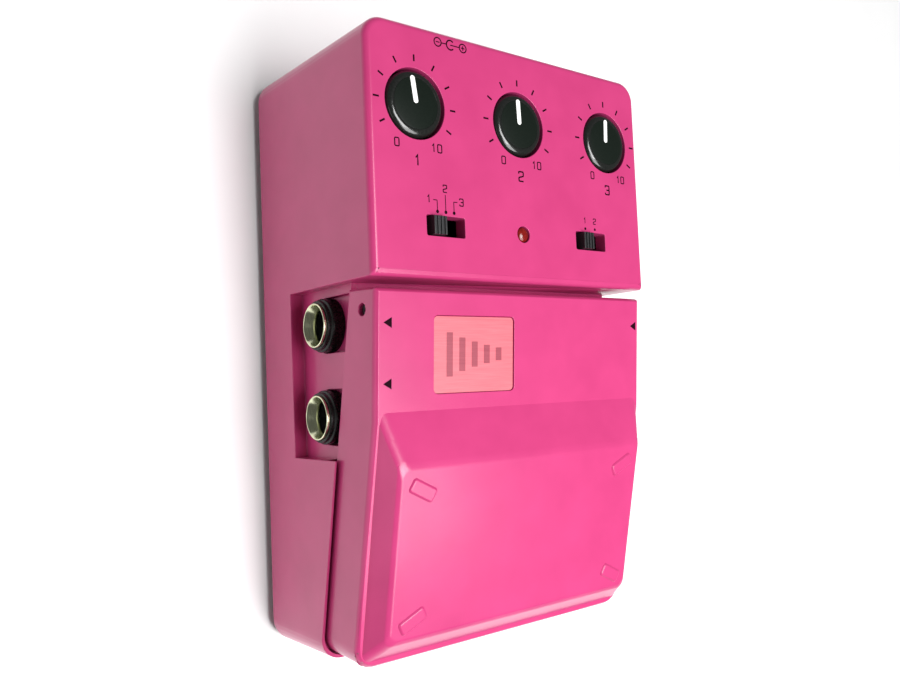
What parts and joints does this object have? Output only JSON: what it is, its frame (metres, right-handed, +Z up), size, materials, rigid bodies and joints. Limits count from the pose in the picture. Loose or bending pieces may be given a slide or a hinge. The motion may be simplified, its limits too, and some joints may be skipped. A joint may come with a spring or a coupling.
{
  "type": "delay pedal",
  "caption": "Compact foot-operated delay pedal: cast box with a raised control block, sprung treadle, pop-up knobs, slide switches, side jacks and a battery bay.",
  "frame": {"origin": "centre of the footprint, on the surface that the rubber feet stand on", "axes": "+X to the right with the treadle towards the player, +Y to the rear, +Z up"},
  "size_m": [0.0762, 0.1244, 0.048],
  "materials": {
    "pink_paint": "semi-gloss hot pink paint with a fine metallic sheen",
    "badge": "lacquered printed plate",
    "black_plastic": "satin black",
    "white_plastic": "moulded white line",
    "shaft_steel": "plain plated steel",
    "control_case": "moulded component case",
    "plated": "bright nickel plating",
    "contact_brass": "plated brass",
    "red_lens": "dark red diffused lens, unlit",
    "circuit_board": "green solder mask",
    "rubber": "moulded black rubber",
    "base_steel": "black painted sheet steel",
    "battery_case": "plain printed steel jacket",
    "cable_jacket": "flexible insulation"
  },
  "bodies": {
    "housing": {"housing": "pink_paint", "range_switch_body": "black_plastic", "mode_switch_body": "black_plastic", "dc_jack_body": "black_plastic", "battery_tray": "black_plastic", "battery_snap": "black_plastic", "jack_left_rear_body": "black_plastic", "jack_left_front_body": "black_plastic", "jack_right_body": "black_plastic", "jack_left_rear_collar": "black_plastic", "jack_left_front_collar": "black_plastic", "jack_right_collar": "black_plastic", "treadle_spring": "shaft_steel", "base_screws": "shaft_steel", "board_screws": "shaft_steel", "control_left_body": "control_case", "control_middle_body": "control_case", "control_right_body": "control_case", "foot_switch_body": "control_case", "main_board_chips": "control_case", "capacitors": "control_case", "jack_left_rear_ferrule": "plated", "jack_left_front_ferrule": "plated", "jack_right_ferrule": "plated", "dc_jack_pin": "contact_brass", "status_led": "red_lens", "control_board": "circuit_board", "main_board": "circuit_board", "rubber_feet": "rubber", "treadle_bumpers": "rubber", "base_plate": "base_steel", "battery": "battery_case", "battery_leads": "cable_jacket", "ribbon_cable": "cable_jacket"},
    "treadle": {"treadle": "pink_paint", "badge_plate": "badge", "hinge_pin_left": "shaft_steel", "hinge_pin_right": "shaft_steel", "stop_screw": "shaft_steel", "stop_washer": "rubber"},
    "foot_switch": {"foot_switch_plunger": "black_plastic"},
    "range_slider": {"range_slider": "black_plastic"},
    "mode_slider": {"mode_slider": "black_plastic"},
    "battery_door": {"battery_door": "black_plastic"},
    "rotor_left": {"control_left_rotor": "control_case"},
    "knob_left": {"knob_left": "black_plastic", "knob_left_pointer": "white_plastic", "knob_left_shaft": "shaft_steel"},
    "rotor_middle": {"control_middle_rotor": "control_case"},
    "knob_middle": {"knob_middle": "black_plastic", "knob_middle_pointer": "white_plastic", "knob_middle_shaft": "shaft_steel"},
    "rotor_right": {"control_right_rotor": "control_case"},
    "knob_right": {"knob_right": "black_plastic", "knob_right_pointer": "white_plastic", "knob_right_shaft": "shaft_steel"}
  },
  "joints": [
    {"name": "treadle_press", "type": "hinge", "parent": "housing", "child": "treadle", "pos_m": [0, 0.0066, 0.0413], "axis": [1, 0, 0], "range_deg": [0, 2.2], "stiffness_Nm_per_rad": 7.8, "springref_deg": -2.5, "deforming": ["treadle_spring"]},
    {"name": "foot_switch_press", "type": "slide", "parent": "housing", "child": "foot_switch", "axis": [0, 0, -1], "range_m": [0, 0.0017]},
    {"name": "turn_left", "type": "hinge", "parent": "housing", "child": "rotor_left", "pos_m": [-0.02615, 0.0455, 0.038], "axis": [0, 0, 1], "range_deg": [-155, 145]},
    {"name": "pull_left", "type": "slide", "parent": "rotor_left", "child": "knob_left", "axis": [0, 0, 1], "range_m": [0, 0.006]},
    {"name": "turn_middle", "type": "hinge", "parent": "housing", "child": "rotor_middle", "pos_m": [0, 0.0455, 0.038], "axis": [0, 0, 1], "range_deg": [-152, 148]},
    {"name": "pull_middle", "type": "slide", "parent": "rotor_middle", "child": "knob_middle", "axis": [0, 0, 1], "range_m": [0, 0.006]},
    {"name": "turn_right", "type": "hinge", "parent": "housing", "child": "rotor_right", "pos_m": [0.02615, 0.0455, 0.038], "axis": [0, 0, 1], "range_deg": [-147, 153]},
    {"name": "pull_right", "type": "slide", "parent": "rotor_right", "child": "knob_right", "axis": [0, 0, 1], "range_m": [0, 0.006]},
    {"name": "range_slide", "type": "slide", "parent": "housing", "child": "range_slider", "axis": [1, 0, 0], "range_m": [0, 0.004]},
    {"name": "mode_slide", "type": "slide", "parent": "housing", "child": "mode_slider", "axis": [1, 0, 0], "range_m": [0, 0.003]},
    {"name": "battery_door_swing", "type": "hinge", "parent": "housing", "child": "battery_door", "pos_m": [-0.0004, 0.0175, 0.0036], "axis": [-1, 0, 0], "range_deg": [0, 100]}
  ],
  "couplings": [
    {"joint": "foot_switch_press", "follows": "treadle_press", "m_per_rad": 0.0426}
  ]
}
